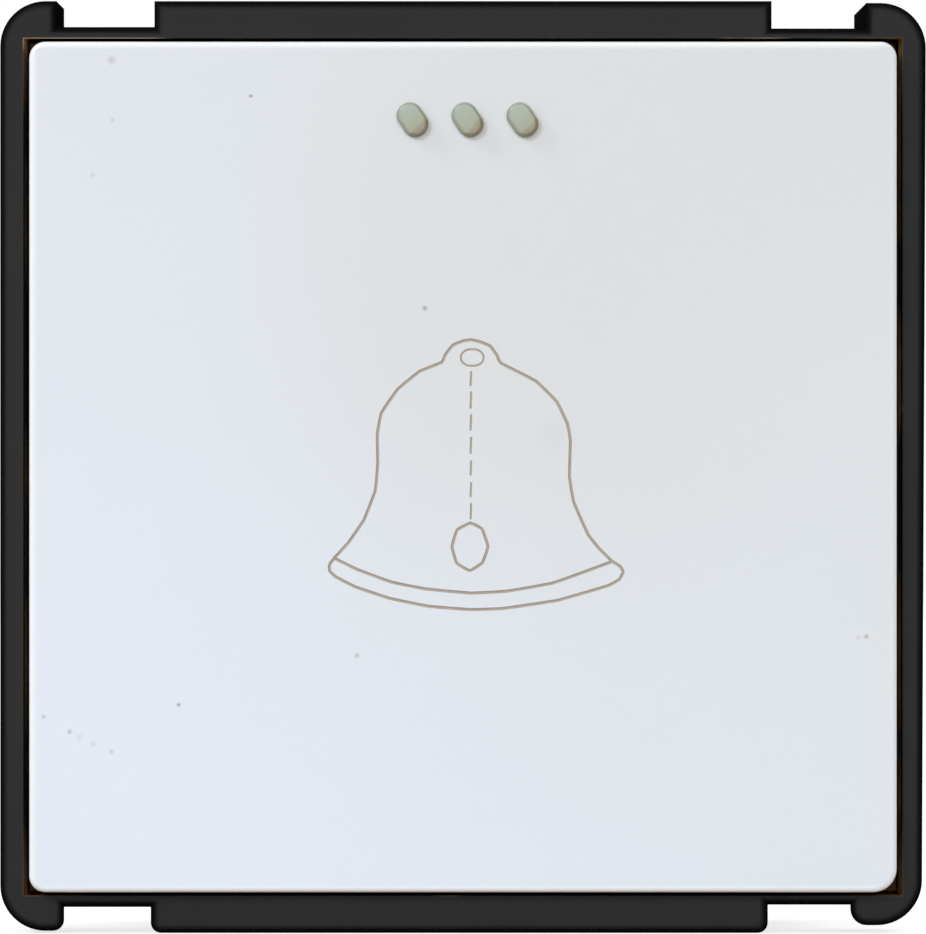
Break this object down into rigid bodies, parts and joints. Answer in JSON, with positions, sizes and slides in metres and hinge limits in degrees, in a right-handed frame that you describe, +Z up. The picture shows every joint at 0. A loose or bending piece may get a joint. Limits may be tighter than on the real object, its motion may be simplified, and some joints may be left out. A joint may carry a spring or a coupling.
{
  "type": "doorbell push button",
  "caption": "Flush doorbell push: a square white rocking plate with glow studs in a notched dark frame, with a sprung plunger contact and screw terminals in a moulded case behind it.",
  "frame": {"origin": "centre of the frame's rear seat, on the plane that rests against the support plate", "axes": "+X to the right as seen from the front, +Y back into the wall, +Z up; the push plate faces -Y"},
  "size_m": [0.045, 0.031, 0.0452],
  "materials": {
    "frame_plastic": "moulded, satin",
    "phenolic": "moulded, satin",
    "plate_plastic": "moulded, satin",
    "glow_plastic": "moulded, translucent",
    "carrier_plastic": "moulded",
    "acetal": "moulded",
    "rubber": "matte",
    "brass": "drawn and cut",
    "silver": "headed",
    "zinc_steel": "zinc plated",
    "spring_steel": "drawn wire"
  },
  "bodies": {
    "base": {"mounting_frame": "frame_plastic", "switch_base": "phenolic", "rear_cover": "phenolic", "rear_lid": "phenolic", "case_screws": "zinc_steel", "hinge_pins": "zinc_steel", "stop_pads": "rubber", "terminal_block_left": "brass", "terminal_block_right": "brass", "terminal_screws": "zinc_steel", "fixed_contact_left": "brass", "fixed_contact_right": "brass", "fixed_contact_rivets": "silver", "plunger_spring": "spring_steel", "return_spring_left": "spring_steel", "return_spring_right": "spring_steel"},
    "key": {"push_plate": "plate_plastic", "glow_strip": "glow_plastic", "key_carrier": "carrier_plastic"},
    "plunger": {"plunger": "acetal", "contact_bridge": "brass", "bridge_rivets": "silver"}
  },
  "joints": [
    {"name": "key_press", "type": "hinge", "parent": "base", "child": "key", "pos_m": [0, -0.0067, 0.016], "axis": [1, 0, 0], "range_deg": [0, 2.6], "stiffness_Nm_per_rad": 1, "springref_deg": -3.44, "deforming": ["return_spring_left", "return_spring_right"]},
    {"name": "plunger_travel", "type": "slide", "parent": "base", "child": "plunger", "axis": [0, 1, 0], "range_m": [0, 0.0012], "deforming": ["plunger_spring"]}
  ],
  "couplings": [
    {"joint": "plunger_travel", "follows": "key_press", "m_per_rad": 0.026}
  ]
}
